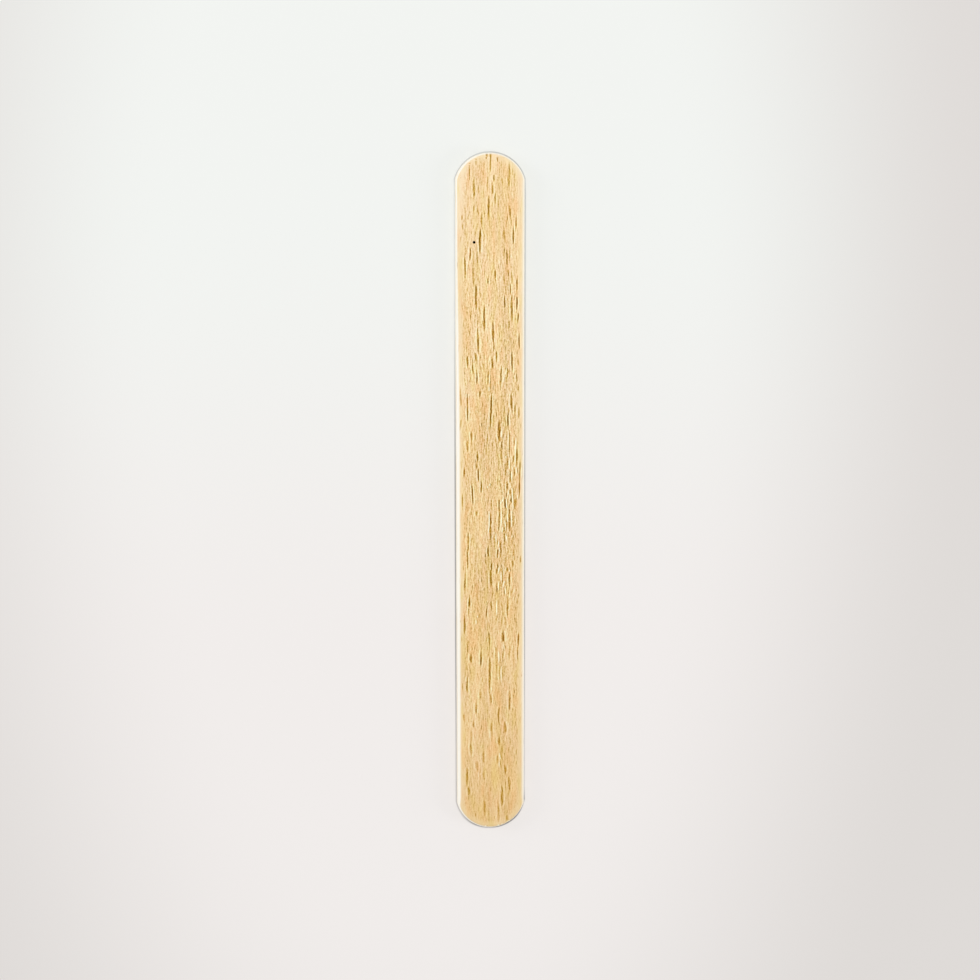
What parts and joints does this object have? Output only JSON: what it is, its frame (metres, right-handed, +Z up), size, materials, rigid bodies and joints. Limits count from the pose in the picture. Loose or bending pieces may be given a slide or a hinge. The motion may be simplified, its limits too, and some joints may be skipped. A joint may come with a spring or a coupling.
{
  "type": "wooden spatula",
  "caption": "Small flat beech spatula: straight parallel sides, two rounded ends and softly worn edges, for spreading, lifting or holding down.",
  "frame": {"origin": "on the underside, midway between the two tips and midway between the two straight sides", "axes": "+Y along the stick from tip to tip, +X across its width, +Z up through its thickness"},
  "size_m": [0.01, 0.1, 0.002],
  "materials": {
    "beech": "bare pale beech, sanded smooth, with darker ray flecks along the grain"
  },
  "bodies": {
    "root": {"spatula": "beech"}
  },
  "joints": []
}
